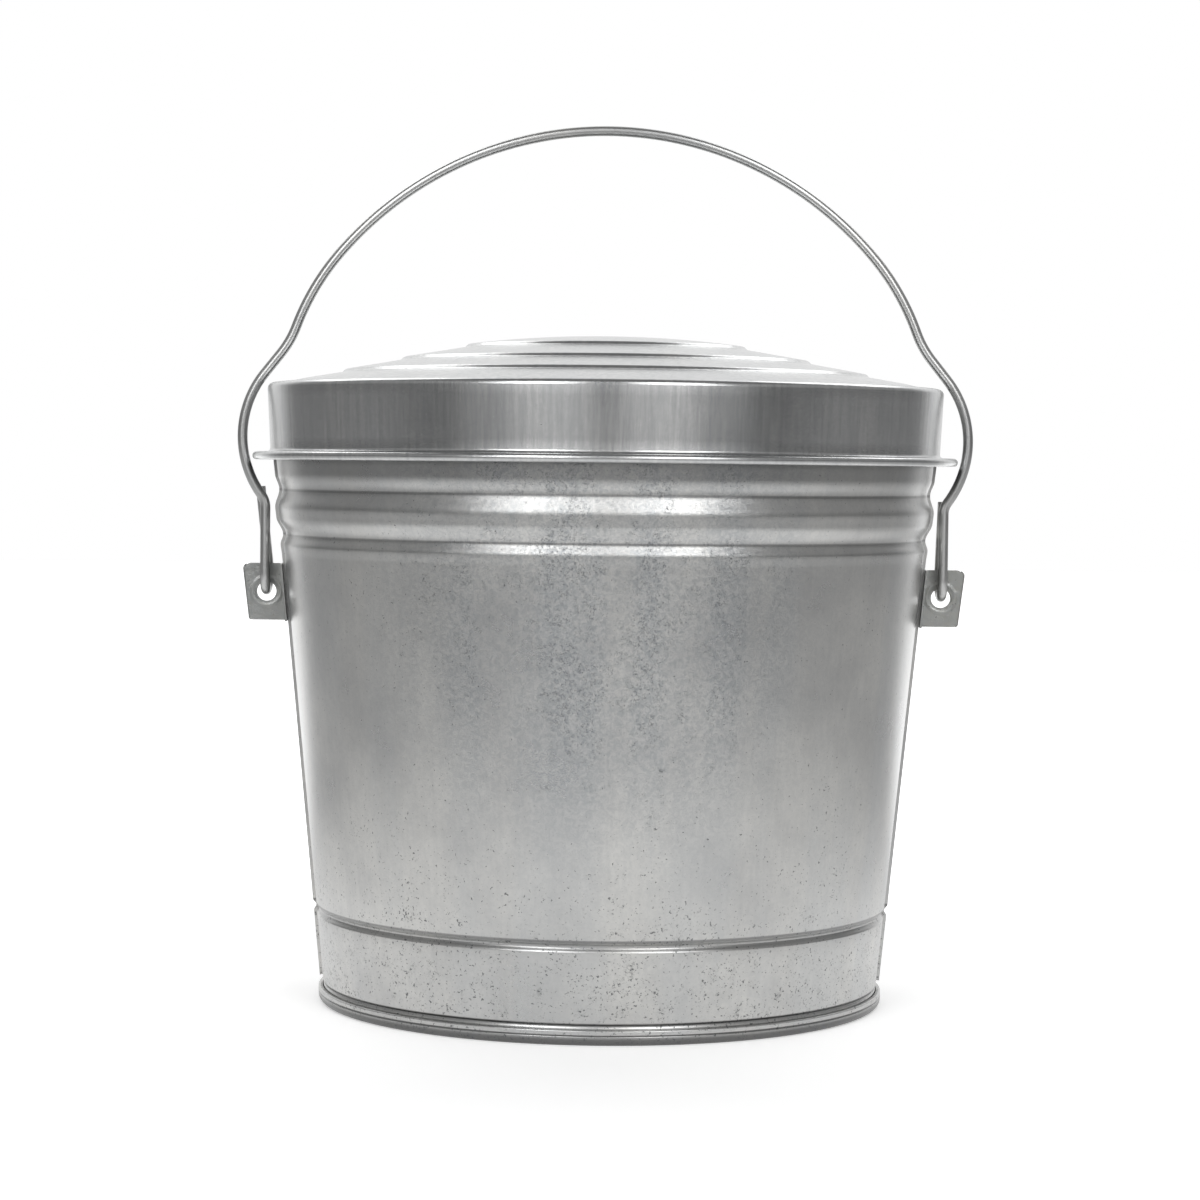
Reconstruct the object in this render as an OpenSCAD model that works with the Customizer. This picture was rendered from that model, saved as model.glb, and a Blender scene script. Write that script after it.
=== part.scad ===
// Galvanized pail with a pressed lid and a wire bail handle.
// Origin on the floor at the pail's axis, +Z up, front towards -Y.
// The lid's rolled flange is the widest round part; the bail arches over it.

/* [Sheet] */
// Thickness of the pail's and the lid's sheet
sheet_t = 0.6; // [0.5:0.05:0.7]
// Space left between sheets that are folded flat on each other
fold_gap = 0.05; // [0.03:0.01:0.08]

/* [Pail] */
// Height of the pail's rim above the floor
can_height = 306.4; // [296:0.1:316]
// Outer radius that the straight wall would have on the floor
base_r = 137.9; // [130:0.1:146]
// Angle at which the wall leans outwards, in degrees
wall_angle = 5.52; // [4.8:0.01:6]
// How far the neck under the lid stands inside the wall's line
neck_in = 1.75; // [1.4:0.05:2.2]
// Length of the bend between the wall and the neck
neck_run = 10.5; // [9:0.5:12]
// Distance from the rim down to where the neck begins
neck_drop = 37.9; // [37:0.1:40]

/* [Swages] */
// Distance from the rim down to the bottom of the upper groove
upper_groove_drop = 51.1; // [50:0.1:53]
// Depth of the upper groove
upper_groove_depth = 1.6; // [1:0.1:2]
// Length of the flank above the upper groove
upper_flank_run = 13; // [10:0.5:13]
// Distance from the rim down to the crest of the bead between the grooves
bead_drop = 60.9; // [59.5:0.1:62]
// Height of that bead's crest
bead_rise = 1.3; // [0.8:0.1:1.6]
// Distance from the rim down to the bottom of the lower groove
lower_groove_drop = 74.2; // [72:0.1:76]
// Depth of the lower groove
lower_groove_depth = 1.5; // [1:0.1:2]
// Length of the flank below the lower groove
lower_flank_run = 5.5; // [4.5:0.5:7]
// Height of the narrow foot groove above the floor
foot_groove_z = 46; // [40:0.5:52]
// Depth of the foot groove
foot_groove_depth = 1.5; // [1:0.1:2]
// Half the width of the foot groove
foot_groove_half = 2.6; // [2:0.1:3.5]
// Distance from the chime's top up to the roller mark above it
mark_rise = 1.5; // [1.3:0.1:2]
// Depth of the roller mark
mark_depth = 0.5; // [0.3:0.1:0.7]
// Half the width of the roller mark
mark_half = 1.3; // [1:0.1:1.3]

/* [Rim roll] */
// Diameter of the wire inside the rim roll
rim_wire_d = 3.2; // [2.8:0.1:3.4]
// Angle left open under the roll, in degrees
roll_open = 52; // [50:1:70]

/* [Chime] */
// Height of the double seam around the bottom
chime_h = 7.4; // [6.8:0.1:8]
// Space between the layers of the double seam
chime_gap = 0.25; // [0.2:0.05:0.3]
// How far the lower half of the seam is swelled outwards
chime_swell = 0.4; // [0.2:0.1:0.5]
// Height of the crease that ends the swell
chime_crease_z = 5; // [4.5:0.1:5.4]
// Radius of the seam's lower outer edge
chime_r = 1.1; // [0.8:0.1:1.4]
// Height of the bottom panel's upper face above the floor
panel_z = 7.1; // [6:0.1:7.2]

/* [Side seams] */
// Half the width of the lock seam on each side
seam_half = 4; // [3:0.25:5]
// Distance from the chime's top up to the lower end of the seam's folds
seam_foot = 3; // [2.9:0.1:6]
// Distance from the rim roll down to the upper end of the seam's folds
seam_head = 0.4; // [0.3:0.1:2]

/* [Ears] */
// Sheet thickness of the ears
ear_t = 1; // [0.8:0.1:1.2]
// Distance from the rim down to the top of the ears
ear_drop = 89.1; // [87:0.1:92]
// Height of the ears
ear_h = 28.5; // [26:0.5:31]
// Half the width of an ear's wings
wing_half = 17; // [14:0.5:20]
// Distance from the lid's flange in to the ear's hole
hole_in = 6.6; // [6.3:0.1:6.9]
// Distance from the ear's top down to the hole
hole_drop = 14.1; // [13.6:0.1:14.6]
// Radius of the hole in the rear leaf
hole_r = 4.85; // [4.5:0.05:5.1]
// How much larger the front leaf's hole is in radius
front_hole_more = 0.7; // [0.4:0.1:0.8]
// How much lower the front leaf's hole sits
front_hole_lower = 0.8; // [0.4:0.1:0.9]
// Reach of the tab beyond the hole's middle at its top
tab_reach = 12.3; // [11.5:0.1:13]
// How much shorter the tab is at its bottom
tab_slant = 3.5; // [2.5:0.1:4.5]
// Radius of the tab's upper outer corner
tab_corner = 3; // [2:0.5:4]
// Radius of the tab's lower outer corner
tab_foot_corner = 1.5; // [1:0.1:2.5]

/* [Lid] */
// Play between the pail's rim roll and the foot of the lid's skirt
lid_play = 0.4; // [0.35:0.05:0.6]
// Clearance between the rim roll's top and the lid that rests on it
lid_seat = 0.3; // [0.3:0.05:0.4]
// How much wider the skirt is at its top than at its foot
skirt_flare = 1.5; // [1:0.1:2]
// Radius of the lid's top outer corner
corner_r = 3; // [2.8:0.1:3.4]
// Width of the raised corner bead
corner_bead = 2.6; // [2:0.1:3]
// Width of the step from the corner bead down to the crease
crease_w = 2.6; // [2:0.1:3.5]
// Depth of the crease inside the corner bead
crease_d = 0.25; // [0.15:0.05:0.3]
// Depth from the lid's top corner down to the middle of the curl
curl_drop = 36.1; // [35.5:0.1:36.5]
// Outer diameter of the curl at the skirt's foot
curl_d = 4.2; // [3.6:0.1:4.6]
// Distance from the skirt's foot out to the middle of the curl
flange_reach = 6.7; // [6.3:0.1:7.1]
// Radius of the bend between the skirt and the flange
flange_bend = 1.8; // [1.2:0.1:2.4]
// Height of the dome's middle above the top corner
dome_h = 24.9; // [22:0.1:28]
// Radius of the middle panel's step
step_1_r = 70; // [64:0.5:76]
// Height of the foot of the middle panel's step above the top corner
step_1_z = 18.7; // [17:0.1:19.4]
// Radius of the middle step
step_2_r = 102; // [96:0.5:108]
// Height of the foot of the middle step above the top corner
step_2_z = 11.9; // [11:0.1:12.6]
// Radius of the outer step
step_3_r = 131; // [125:0.5:137]
// Height of the foot of the outer step above the top corner
step_3_z = 5.4; // [4.8:0.1:6]
// Height of each step
step_h = 1.8; // [1:0.1:2]
// Width over which a step drops
step_w = 1.5; // [1:0.1:2.5]

/* [Bail] */
// Diameter of the bail's wire
bail_d = 5; // [4.6:0.1:5.3]
// Radius of the bail's hook, to the wire's middle
hook_r = 9; // [8.8:0.1:10]
// Height of the wire's middle above the hole's middle
hook_lift = 0.6; // [0.3:0.1:0.8]
// Length of the hook's tail above the pivot
tail_h = 37; // [30:1:40]
// Angle at which the right tail leans outwards, in degrees
right_tail_angle = 2; // [0:0.1:3]
// Angle at which the left tail leans outwards, in degrees
left_tail_angle = 6.2; // [4:0.1:7]
// Length of the straight leg above the pivot
leg_h = 32.6; // [31:0.1:34]
// Radius of the bend out of the leg
leg_bend_r = 10.2; // [9:0.1:11]
// Angle of the bend out of the leg, in degrees
leg_bend_angle = 36.1; // [36:0.1:37]
// Radius of the bulge around the lid's flange
bulge_r = 50.2; // [49.5:0.1:51]
// Length of the straight above the bulge
shoulder_run = 12.6; // [12:0.1:14]
// Radius of the reverse bend below the shoulder
kink_r = 48.7; // [46:0.1:52]
// Angle of the reverse bend below the shoulder, in degrees
kink_angle = 18.15; // [17:0.05:19]
// Radius of the shoulder
shoulder_r = 123.4; // [118:0.1:128]
// Angle of the shoulder, in degrees
shoulder_angle = 19.5; // [18:0.1:21]
// Angle of half the crown, in degrees
crown_angle = 50; // [48:0.1:52]

/* [Hidden] */
$fn = 96;
zinc = "#a4a7a6";
zinc_dark = "#8d908d";
wire_zinc = "#9fa1a1";
// Pieces of a smooth flank
flank_n = 5;
// Pieces of a rounded corner
corner_n = 4;
// Pieces of the rim roll and of the lid's open curl
curl_n = 18;
// Facets round the bail's wire
wire_fn = 24;
// How much thinner in radius every other piece of the bail is
wire_step = 0.02;
// How far the thinner pieces lap into their neighbours
wire_lap = 0.3;
// One overrun for all cuts
over = 5;

// Heights
neck_z = can_height - neck_drop;
neck_end_z = neck_z + neck_run;
upper_groove_z = can_height - upper_groove_drop;
bead_z = can_height - bead_drop;
lower_groove_z = can_height - lower_groove_drop;
mark_z = chime_h + mark_rise;

// Rim roll
roll_r = rim_wire_d/2 + fold_gap + sheet_t;
neck_r = base_r + neck_z*tan(wall_angle) - neck_in;
roll_mid_r = neck_r - sheet_t + roll_r;
roll_z = can_height - roll_r;
rim_out_r = roll_mid_r + roll_r;

// Side seams
layer = sheet_t + fold_gap;
seam_lo = chime_h + seam_foot;
seam_hi = can_height - 2*roll_r - seam_head;
seam_proud = 3*layer;
seam_a = asin(seam_half/neck_r);
fold_a = asin(sheet_t/neck_r);
slit_a = asin(fold_gap/neck_r);

// Lid
foot_r = rim_out_r + lid_play + sheet_t;
top_r = foot_r + skirt_flare;
top_z = can_height + lid_seat + sheet_t;
curl_r = curl_d/2;
curl_mid_r = foot_r + flange_reach;
curl_z = top_z - curl_drop;
tip_r = curl_mid_r + curl_r;
flange_z = curl_z + curl_r;

// Ears
ear_top = can_height - ear_drop;
ear_foot = ear_top - ear_h;
hole_x = tip_r - hole_in;
hole_z = ear_top - hole_drop;
tab_top_x = hole_x + tab_reach;
tab_foot_x = tab_top_x - tab_slant;
wing_a = asin(wing_half/hole_x);
wing_in = seam_proud + fold_gap;

// Bail
bail_r = bail_d/2;
pivot_z = hole_z + hook_lift + hook_r;
bulge_angle = 90 - (crown_angle + shoulder_angle - kink_angle) + leg_bend_angle;

// Radius of the straight, leaning wall at a height
function line_r(z) = base_r + z*tan(wall_angle);
// Smooth step from 0 to 1
function ease(s) = (1 - cos(180*s))/2;
// Points of a smooth flank from one height and offset to another
function flank(z0, d0, z1, d1, n) = [for (i = [1:n])
    let (z = z0 + (z1 - z0)*i/n) [line_r(z) + d0 + (d1 - d0)*ease(i/n), z]];
function shifted(p, d) = [for (q = p) [q.x + d, q.y]];
function turned(p) = [for (i = [len(p) - 1:-1:0]) p[i]];
// Corner of a profile: arc about a middle from one angle to another
function arc(c, r, a0, a1, n) = [for (i = [0:n])
    let (a = a0 + (a1 - a0)*i/n) [c.x + r*cos(a), c.y + r*sin(a)]];

// Double seam: distances out from the wall's line
chime_in_z = sheet_t + chime_gap;
hook_in = 2*chime_gap + sheet_t;
hook_out = hook_in + sheet_t;
pan_in = hook_out + chime_gap;
pan_out = pan_in + sheet_t;
hook_top = chime_h - sheet_t - chime_gap;

// Bend from the wall into the upright neck
neck_line = [for (i = [1:flank_n]) let (s = i/flank_n)
    [line_r(neck_z) - neck_in*ease(s), neck_z + neck_run*s]];
// Wall's outer line between the chime and the neck
wall_lo = concat([[line_r(seam_lo), seam_lo]],
    [[line_r(foot_groove_z - foot_groove_half), foot_groove_z - foot_groove_half],
     [line_r(foot_groove_z) - foot_groove_depth, foot_groove_z],
     [line_r(foot_groove_z + foot_groove_half), foot_groove_z + foot_groove_half]],
    [[line_r(lower_groove_z - lower_flank_run), lower_groove_z - lower_flank_run]],
    flank(lower_groove_z - lower_flank_run, 0, lower_groove_z, -lower_groove_depth, 3),
    flank(lower_groove_z, -lower_groove_depth, bead_z, bead_rise, flank_n),
    flank(bead_z, bead_rise, upper_groove_z, -upper_groove_depth, flank_n),
    flank(upper_groove_z, -upper_groove_depth,
          min(upper_groove_z + upper_flank_run, neck_z), 0, flank_n),
    neck_line);
wall_seam = concat(wall_lo, [[neck_r, seam_hi]]);
// The same line, a little shorter at both ends, for the folds
wall_fold = concat([[line_r(seam_lo + sheet_t/2), seam_lo + sheet_t/2]],
    [for (i = [1:len(wall_lo) - 1]) wall_lo[i]], [[neck_r, seam_hi - sheet_t/2]]);
// Wall's outer line below the seams, down to the double seam's inside
wall_foot = [
    [line_r(mark_z - mark_half), mark_z - mark_half],
    [line_r(mark_z) - mark_depth, mark_z],
    [line_r(mark_z + mark_half), mark_z + mark_half]];

// Places of a folded layer's inner face, middle and outer face, out from
// the wall's line
function lay_in(k) = k*layer - sheet_t;
function lay_mid(k) = k*layer - sheet_t/2;
function lay_out(k) = k*layer;

// Part turn of a wall strip between two distances out from the wall's line
module strip(line, d0, d1, a0, a1) {
    rotate([0, 0, a0])
        rotate_extrude(angle = a1 - a0)
            polygon(concat(shifted(line, d1), turned(shifted(line, d0))));
}

// Section of a body sheet: foot hook, wall and rim roll
module body_section() {
    hook_r0 = line_r(chime_in_z);
    roll_mid = [roll_mid_r, roll_z];
    line = concat(wall_foot, wall_lo);
    polygon(concat(
        [[line_r(hook_top) + hook_in, hook_top], [hook_r0 + hook_in, chime_in_z + sheet_t],
         [hook_r0, chime_in_z + sheet_t]],
        line,
        arc(roll_mid, roll_r - sheet_t, 180, roll_open - 180, curl_n),
        turned(arc(roll_mid, roll_r, 180, roll_open - 180, curl_n)),
        turned(shifted(line, -sheet_t)),
        [[hook_r0 - sheet_t, chime_in_z], [hook_r0 + hook_out, chime_in_z],
         [line_r(hook_top) + hook_out, hook_top]]));
}

// Half of the body, from one lock seam to the other, and its folds. Each
// fold reaches into the middle of the layers that it joins.
module body_sheet() {
    step_a = seam_a + slit_a + fold_a;
    half_a = fold_a/2;
    rotate([0, 0, 180 + seam_a + slit_a + half_a])
        rotate_extrude(angle = 180 - slit_a - fold_a)
            body_section();
    // Right side: under the other sheet, then folded back over its edge
    strip(wall_fold, lay_mid(0), lay_mid(2), seam_a - fold_a, seam_a);
    strip(wall_seam, lay_in(2), lay_out(2), fold_a + slit_a - seam_a, seam_a - half_a);
    // Left side: stepped out, over the other sheet and folded under it
    strip(wall_fold, lay_mid(0), lay_mid(3), 180 + seam_a + slit_a, 180 + step_a);
    strip(wall_seam, lay_in(3), lay_out(3), 180 - seam_a + half_a, 180 + step_a - half_a);
    strip(wall_fold, lay_mid(1), lay_mid(3), 180 - seam_a, 180 - seam_a + fold_a);
    strip(wall_seam, lay_in(1), lay_out(1), 180 - seam_a + half_a,
          180 + seam_a - fold_a - slit_a);
}

module body_front() {
    color(zinc) body_sheet();
}

module body_back() {
    color(zinc) rotate([0, 0, 180]) body_sheet();
}

// Bottom: flat panel, chuck wall, foot and the seam's outer wrap with its
// tucked hook, all one bent sheet
module bottom_pan() {
    chuck = sheet_t + chime_gap;
    tuck_z = 2*chime_in_z;
    top_in = line_r(chime_h);
    foot_mid = [line_r(chime_r) + pan_out + chime_swell - chime_r, chime_r];
    color(zinc_dark)
        rotate_extrude()
            polygon(concat(
                [[0, panel_z], [line_r(panel_z) - chuck, panel_z],
                 [line_r(sheet_t) - chuck, sheet_t]],
                arc(foot_mid, chime_r - sheet_t, -90, 0, corner_n),
                [[line_r(chime_crease_z) + pan_in + chime_swell, chime_crease_z],
                 [top_in + pan_in, chime_h - sheet_t],
                 [top_in + chime_gap + sheet_t, chime_h - sheet_t],
                 [line_r(tuck_z) + chime_gap + sheet_t, tuck_z],
                 [line_r(tuck_z) + chime_gap, tuck_z],
                 [top_in + chime_gap, chime_h],
                 [top_in + pan_out - sheet_t/2, chime_h],
                 [top_in + pan_out, chime_h - sheet_t/2],
                 [line_r(chime_crease_z) + pan_out + chime_swell, chime_crease_z]],
                arc(foot_mid, chime_r, 0, -90, corner_n),
                [[line_r(0) - chuck - sheet_t, 0],
                 [line_r(panel_z) - chuck - sheet_t, panel_z - sheet_t],
                 [0, panel_z - sheet_t]]));
}

// Wire that stiffens the rim, enclosed by the roll
module rim_wire() {
    color(wire_zinc)
        translate([0, 0, roll_z])
            rotate_extrude()
                translate([roll_mid_r, 0]) circle(d = rim_wire_d);
}

// Outline of the tab in its own plane, x outwards
module tab_outline(inset) {
    x_in = line_r(ear_foot);
    slant = atan(tab_slant/ear_h);
    foot_mid = [tab_foot_x - inset + tab_foot_corner*(tan(slant) - 1/cos(slant)),
                ear_foot + tab_foot_corner];
    head_mid = [tab_top_x - inset - tab_corner*(tan(slant) + 1/cos(slant)),
                ear_top - tab_corner];
    polygon(concat([[x_in, ear_foot]],
                   arc(foot_mid, tab_foot_corner, -90, -slant, corner_n),
                   arc(head_mid, tab_corner, -slant, 90, 2*corner_n),
                   [[x_in, ear_top]]));
}

// One leaf of the folded tab, with its hole, on the side that dir gives
module leaf(dir, hole, lower) {
    difference() {
        translate([0, dir*(fold_gap/2 + ear_t/2), 0])
            rotate([90, 0, 0])
                linear_extrude(ear_t, center = true) tab_outline(ear_t);
        translate([hole_x, 0, hole_z - lower])
            rotate([90, 0, 0]) cylinder(r = hole, h = 2*over, center = true);
        wall_plug();
    }
}

// Space inside the ear's wings, cut from the leaves
module wall_plug() {
    rotate_extrude()
        polygon([[0, ear_foot - over], [line_r(ear_foot - over) + wing_in, ear_foot - over],
                 [line_r(ear_top + over) + wing_in, ear_top + over], [0, ear_top + over]]);
}

// Ear on the right side: two wings round the wall and a folded tab
module ear() {
    fold_len = norm([tab_slant, ear_h]);
    rotate([0, 0, -wing_a])
        rotate_extrude(angle = 2*wing_a)
            polygon([[line_r(ear_foot) + wing_in, ear_foot],
                     [line_r(ear_foot) + wing_in + ear_t, ear_foot],
                     [line_r(ear_top) + wing_in + ear_t, ear_top],
                     [line_r(ear_top) + wing_in, ear_top]]);
    leaf(-1, hole_r + front_hole_more, front_hole_lower);
    leaf(1, hole_r, 0);
    // Fold that joins the leaves along the tab's outer edge
    intersection() {
        translate([tab_foot_x - ear_t - fold_gap/2, 0, ear_foot])
            rotate([0, atan(tab_slant/ear_h), 0])
                cylinder(r = ear_t + fold_gap/2, h = fold_len);
        rotate([90, 0, 0])
            linear_extrude(2*over, center = true) tab_outline(0);
    }
}

module ear_right() {
    color(zinc_dark) ear();
}

module ear_left() {
    color(zinc_dark) mirror([1, 0, 0]) ear();
}

// Upper line of the lid from the axis to the crease
function step_line(r, z) = [[r - step_w/2, top_z + z + step_h], [r + step_w/2, top_z + z]];
panel_rim_z = step_1_z + step_h;
panel_rim_r = step_1_r - step_w/2;
dome_line = concat(
    [for (i = [0:flank_n]) let (s = i/flank_n)
        [panel_rim_r*s, top_z + dome_h - (dome_h - panel_rim_z)*s*s]],
    [[step_1_r + step_w/2, top_z + step_1_z]],
    step_line(step_2_r, step_2_z), step_line(step_3_r, step_3_z),
    [[top_r - corner_r - corner_bead + crease_d - crease_w, top_z + crease_d/2],
     [top_r - corner_r - corner_bead + crease_d, top_z - crease_d],
     [top_r - corner_r - corner_bead/2, top_z]]);
corner_mid = [top_r - corner_r, top_z - corner_r];

// Lid: dome with three steps, corner bead, skirt, flange and open curl
module lid() {
    bend_mid = [foot_r + flange_bend, flange_z + flange_bend];
    curl_mid = [curl_mid_r, curl_z];
    top_line = concat(dome_line, arc(corner_mid, corner_r, 90, 0, 2*corner_n),
                      arc(bend_mid, flange_bend, 180, 270, corner_n),
                      arc(curl_mid, curl_r, 90, -180, curl_n));
    low_line = concat([for (q = dome_line) [q.x, q.y - sheet_t]],
                      arc(corner_mid, corner_r - sheet_t, 90, 0, 2*corner_n),
                      arc(bend_mid, flange_bend + sheet_t, 180, 270, corner_n),
                      arc(curl_mid, curl_r - sheet_t, 90, -180, curl_n));
    color(zinc)
        rotate_extrude()
            polygon(concat(top_line, turned(low_line)));
}

// Sum of the sideways and downward travel of the bends below the crown
crown_end = crown_angle;
shoulder_end = crown_angle + shoulder_angle;
kink_end = shoulder_end - kink_angle;
bulge_end = kink_end + bulge_angle;
side_run = shoulder_r*(sin(shoulder_end) - sin(crown_end))
    + kink_r*(sin(shoulder_end) - sin(kink_end))
    + shoulder_run*cos(kink_end)
    + bulge_r*(sin(bulge_end) - sin(kink_end))
    + leg_bend_r*(sin(bulge_end) - 1);
down_run = shoulder_r*(cos(crown_end) - cos(shoulder_end))
    + kink_r*(cos(kink_end) - cos(shoulder_end))
    + shoulder_run*sin(kink_end)
    + bulge_r*(cos(kink_end) - cos(bulge_end))
    + leg_bend_r*(0 - cos(bulge_end)) + leg_h;
// The crown's radius brings the legs down onto the ears' holes
crown_r = (hole_x - side_run)/sin(crown_angle);
crown_z = pivot_z + down_run + crown_r*(1 - cos(crown_angle));

// Chain of wire pieces: each bend is [radius, angle], with a negative
// radius for a bend the other way; each straight is [length]. Every other
// piece is a hair thinner and laps into its two neighbours. Only the pieces
// from one number up to another are made.
module wire_chain(bends, from, to, i = 0) {
    if (i < to) {
        b = bends[i];
        thin = i % 2 == 0;
        r = thin ? bail_r - wire_step : bail_r;
        lap = thin ? wire_lap : 0;
        end_lap = i < to - 1 ? lap : 0;
        if (len(b) == 1) {
            if (i >= from)
                translate([-lap, 0, 0])
                    rotate([0, 90, 0]) cylinder(r = r, h = b[0] + lap + end_lap, $fn = wire_fn);
            translate([b[0], 0, 0]) wire_chain(bends, from, to, i + 1);
        } else {
            side = b[0] > 0 ? 1 : -1;
            lap_a = asin(lap/abs(b[0]));
            translate([0, 0, -b[0]]) {
                if (i >= from) rotate([90, 0, 0])
                    rotate([0, 0, (side > 0 ? 90 - b[1] : -90) - lap_a])
                        rotate_extrude(angle = b[1] + 2*lap_a)
                            translate([abs(b[0]), 0]) circle(r = r, $fn = wire_fn);
                rotate([0, side*b[1], 0])
                    translate([0, 0, b[0]]) wire_chain(bends, from, to, i + 1);
            }
        }
    }
}

// Pieces of one side of the bail below the crown
module bail_chain(from, to) {
    translate([0, -hook_r, crown_z - crown_r])
        rotate([0, crown_angle, 0])
            translate([0, 0, crown_r])
                wire_chain([[shoulder_r, shoulder_angle], [-kink_r, kink_angle], [shoulder_run],
                            [bulge_r, bulge_angle], [-leg_bend_r, leg_bend_angle], [leg_h]],
                           from, to);
}

// End of the bail, from the top of its bulge down through the hook to the tail
module bail_end(tail_angle) {
    hook_lap_a = asin(wire_lap/hook_r);
    bail_chain(3, 6);
    translate([hole_x, 0, pivot_z]) {
        // Hook through the ear
        rotate([0, 0, 90])
            rotate([90, 0, 0])
                rotate([0, 0, 180 - hook_lap_a])
                    rotate_extrude(angle = 180 + 2*hook_lap_a)
                        translate([hook_r, 0])
                            circle(r = bail_r - wire_step, $fn = wire_fn);
        // Tail
        translate([0, hook_r, 0])
            rotate([0, tail_angle, 0]) cylinder(r = bail_r, h = tail_h, $fn = wire_fn);
    }
}

// Arch of the bail: the crown and both shoulders
module bail() {
    color(wire_zinc) {
        translate([0, -hook_r, crown_z - crown_r])
            rotate([90, 0, 0])
                rotate([0, 0, 90 - crown_angle])
                    rotate_extrude(angle = 2*crown_angle)
                        translate([crown_r, 0]) circle(r = bail_r, $fn = wire_fn);
        bail_chain(0, 3);
        mirror([1, 0, 0]) bail_chain(0, 3);
    }
}

module bail_left() {
    color(wire_zinc) mirror([1, 0, 0]) bail_end(left_tail_angle);
}

module bail_right() {
    color(wire_zinc) bail_end(right_tail_angle);
}

body_front();
body_back();
bottom_pan();
rim_wire();
ear_left();
ear_right();
lid();
bail();
bail_left();
bail_right();
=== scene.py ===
"""Galvanized pail with a stepped lid and a wire bail, dressed for a studio view."""

from math import asin, cos, pi, radians, sin, tan

import bmesh
import bpy
from mathutils import Matrix, Vector


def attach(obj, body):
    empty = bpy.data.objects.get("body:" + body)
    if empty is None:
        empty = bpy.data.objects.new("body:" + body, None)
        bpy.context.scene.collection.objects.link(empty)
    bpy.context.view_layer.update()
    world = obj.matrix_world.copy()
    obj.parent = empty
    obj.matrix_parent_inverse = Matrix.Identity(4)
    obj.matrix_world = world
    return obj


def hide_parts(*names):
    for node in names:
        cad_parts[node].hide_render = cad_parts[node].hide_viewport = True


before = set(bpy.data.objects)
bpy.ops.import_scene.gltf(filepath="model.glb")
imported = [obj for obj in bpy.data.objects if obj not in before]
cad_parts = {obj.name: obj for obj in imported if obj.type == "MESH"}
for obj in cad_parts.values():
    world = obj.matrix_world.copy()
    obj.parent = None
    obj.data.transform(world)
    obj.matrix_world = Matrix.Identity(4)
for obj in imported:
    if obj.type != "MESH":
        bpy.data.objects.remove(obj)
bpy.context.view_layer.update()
MM = 0.001


# Sizes of the pail, in millimetres

SHEET = 0.6
FOLD_GAP = 0.05
LAYER = SHEET + FOLD_GAP

RIM_Z = 306.4
BASE_R = 137.9
TAPER = radians(5.52)
NECK_Z = RIM_Z - 37.9
NECK_H = 10.5
NECK_IN = 1.75
NECK_R = BASE_R + NECK_Z * tan(TAPER) - NECK_IN
RIM_WIRE_R = 1.6
ROLL_R = RIM_WIRE_R + FOLD_GAP + SHEET
ROLL_AT = (NECK_R - SHEET + ROLL_R, RIM_Z - ROLL_R)
ROLL_END = -128
RIM_OUT = ROLL_AT[0] + ROLL_R

CHIME_H = 7.4
CHIME_GAP = 0.25
CHIME_BULGE = 0.4
BULGE_Z = 1.1
BULGE_HALF = 6
CHIME_BEND_R = 3.0
CHIME_TOP_R = 0.7
CHIME_TUCK_R = 0.5
TUCK_END_Z = 2.5
FACE_TOP_Z = 6.4
FACE_STEP = 0.16
PRESS_Z = 4.7
PRESS_HALF = 0.5
PRESS_DEPTH = 0.3
HOOK_BEND_R = 1.9
PAN_Z = 7.1
PAN_FLAT_R = 60
PAN_BEND_R = 1.2
PAN_FOOT_R = 0.9
PAN_FOOT_CUT = 0.4

SEAM_LOW = CHIME_H + 3
SEAM_HIGH = RIM_Z - 2 * ROLL_R - 0.4
SEAM_HALF = 4
SEAM_A = asin(SEAM_HALF / NECK_R)
FOLD_A = asin(SHEET / NECK_R)
SLIT_A = asin(FOLD_GAP / NECK_R)
FOLD_SHORT = 0.3

SKIRT_R = RIM_OUT + 0.4 + SHEET
SKIRT_LEAN = 1.5
LID_R = SKIRT_R + SKIRT_LEAN
LID_Z = RIM_Z + 0.3 + SHEET
LID_BEND_R = 3
DOME_H = 24.9
STEP_H = 1.8
STEP_HALF = 1.3
CREASE_R = LID_R - 5.35
FLANGE_BEND_R = 1.8
CURL_R = 2.1
CURL_AT = (SKIRT_R + 6.7, LID_Z - 36.1)
TIP_R = CURL_AT[0] + CURL_R
FLANGE_Z = CURL_AT[1] + CURL_R

EAR_TOP = RIM_Z - 89.1
EAR_EASE = 0.18
HOLE = (TIP_R - 6.6, EAR_TOP - 14.1)

WIRE_R = 2.5
WIRE_SLACK = 0.022
WIRE_SIDES = 28
HOOK_R = 9.0
PIVOT_Z = HOLE[1] + 0.6 + HOOK_R
TAIL_H = 37.0
TAIL_BEND_R = 60
TAIL_EASE = 0.4
RIGHT_TAIL = radians(2.0)
LEFT_TAIL = radians(6.2)

# Parts of the wall's line going up: height and distance out of the taper
# where the part begins, the same where it ends, and its number of points
WALL_PARTS = (
    (SEAM_LOW, 0, 43.2, 0, 4),
    (43.2, 0, 46, -1.5, 7),
    (46, -1.5, 48.8, 0, 7),
    (48.8, 0, 221.5, 0, 12),
    (221.5, 0, 226.6, 0.25, 6),
    (226.6, 0.25, 232.2, -1.5, 10),
    (232.2, -1.5, 240.5, 1.15, 12),
    (240.5, 1.15, 245, 1.3, 5),
    (245, 1.3, 255, -1.6, 14),
    (255, -1.6, 262, -0.1, 10),
    (262, -0.1, 268.3, 0, 4),
)
NECK_POINTS = 12

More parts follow.
